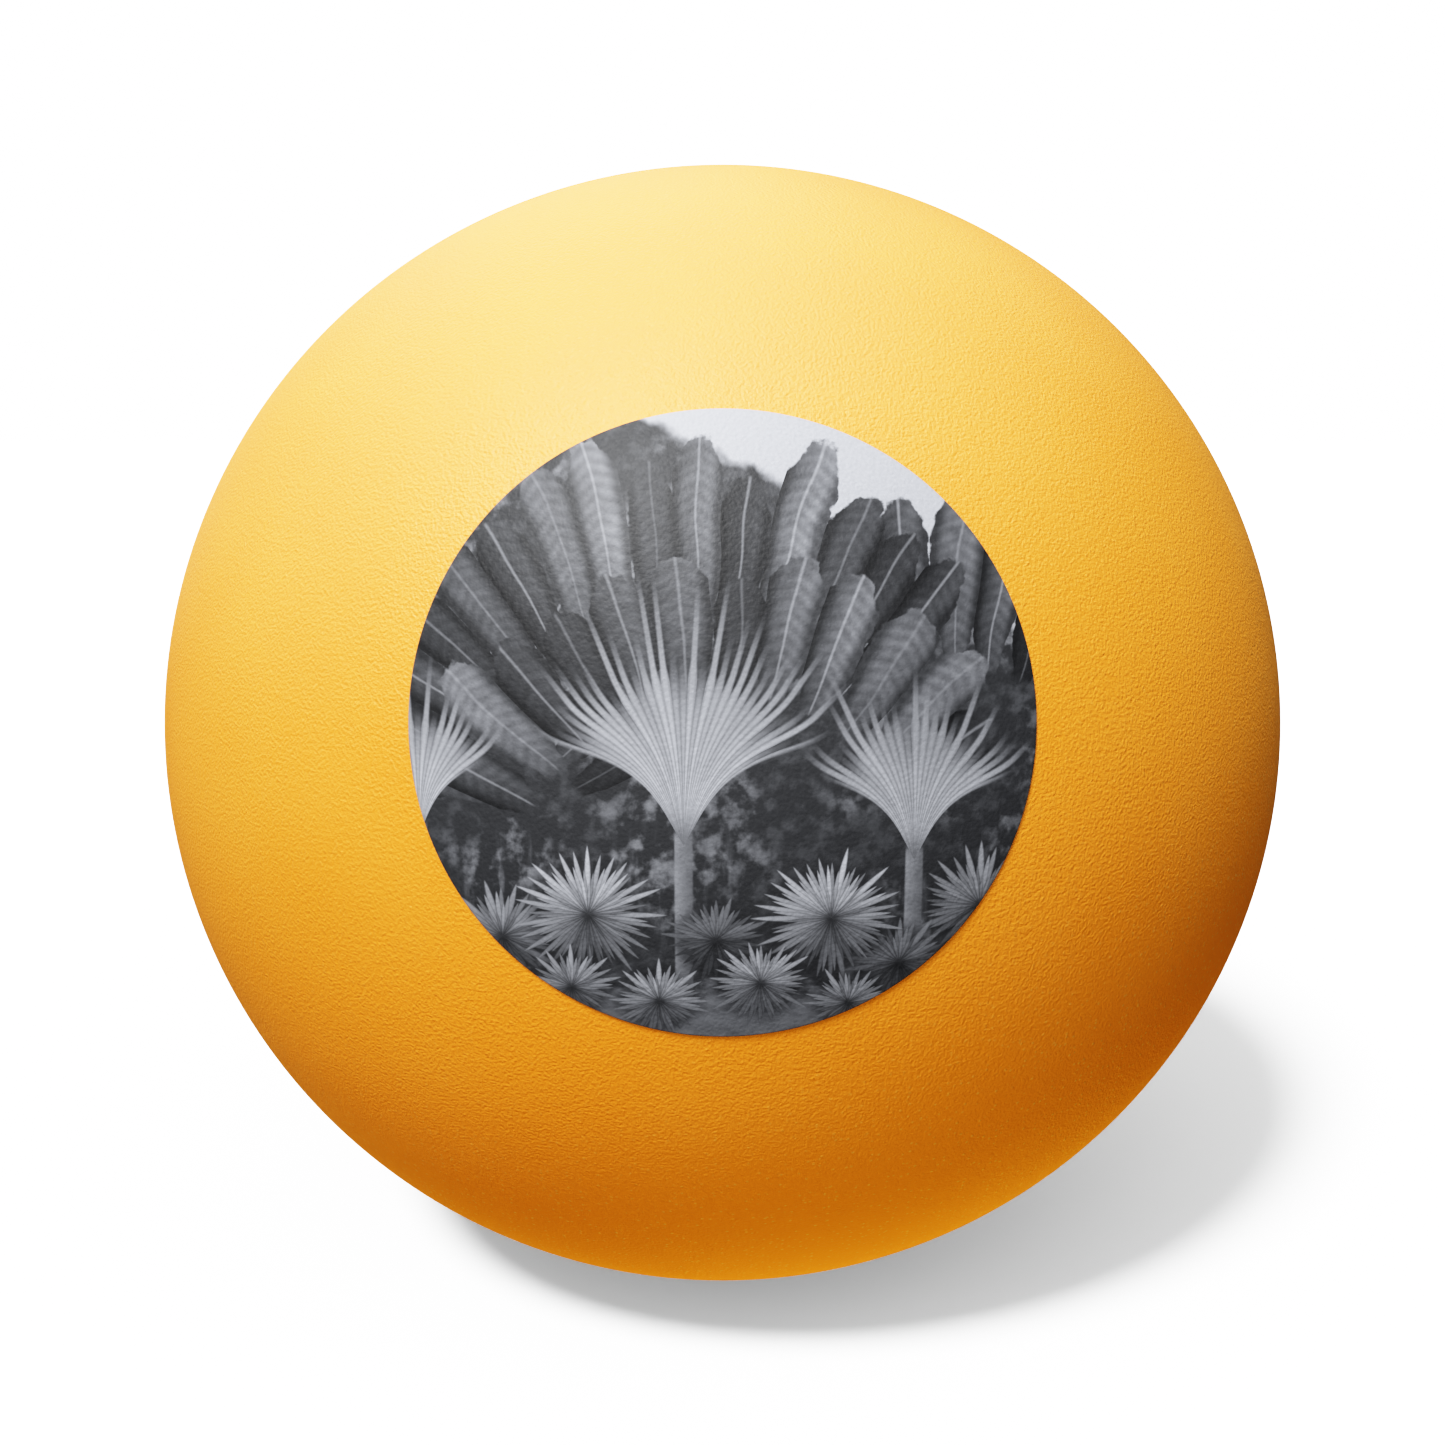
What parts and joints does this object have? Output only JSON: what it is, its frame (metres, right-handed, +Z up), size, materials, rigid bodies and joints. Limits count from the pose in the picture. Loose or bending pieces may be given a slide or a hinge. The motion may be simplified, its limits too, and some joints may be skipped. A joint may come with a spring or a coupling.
{
  "type": "table tennis ball",
  "caption": "Hollow matt orange plastic ball for table tennis, bonded from half shells along a fine seam, with a round grey picture printed at its front pole.",
  "frame": {"origin": "centre of the ball", "axes": "-Y out through the middle of the round print; +Z up when the printed picture is upright; the seam lies in the XZ plane"},
  "size_m": [0.04, 0.0401, 0.04],
  "materials": {
    "ball_plastic": "matt, fine pebbled grain",
    "seam_cement": "satin",
    "white_ink": "matt",
    "grey_ink": "matt, follows the grain of the plastic"
  },
  "bodies": {
    "root": {"front_shell": "ball_plastic", "rear_shell": "ball_plastic", "seam_cement": "seam_cement", "print_white_layer": "white_ink", "print_grey_layer": "grey_ink"}
  },
  "joints": []
}
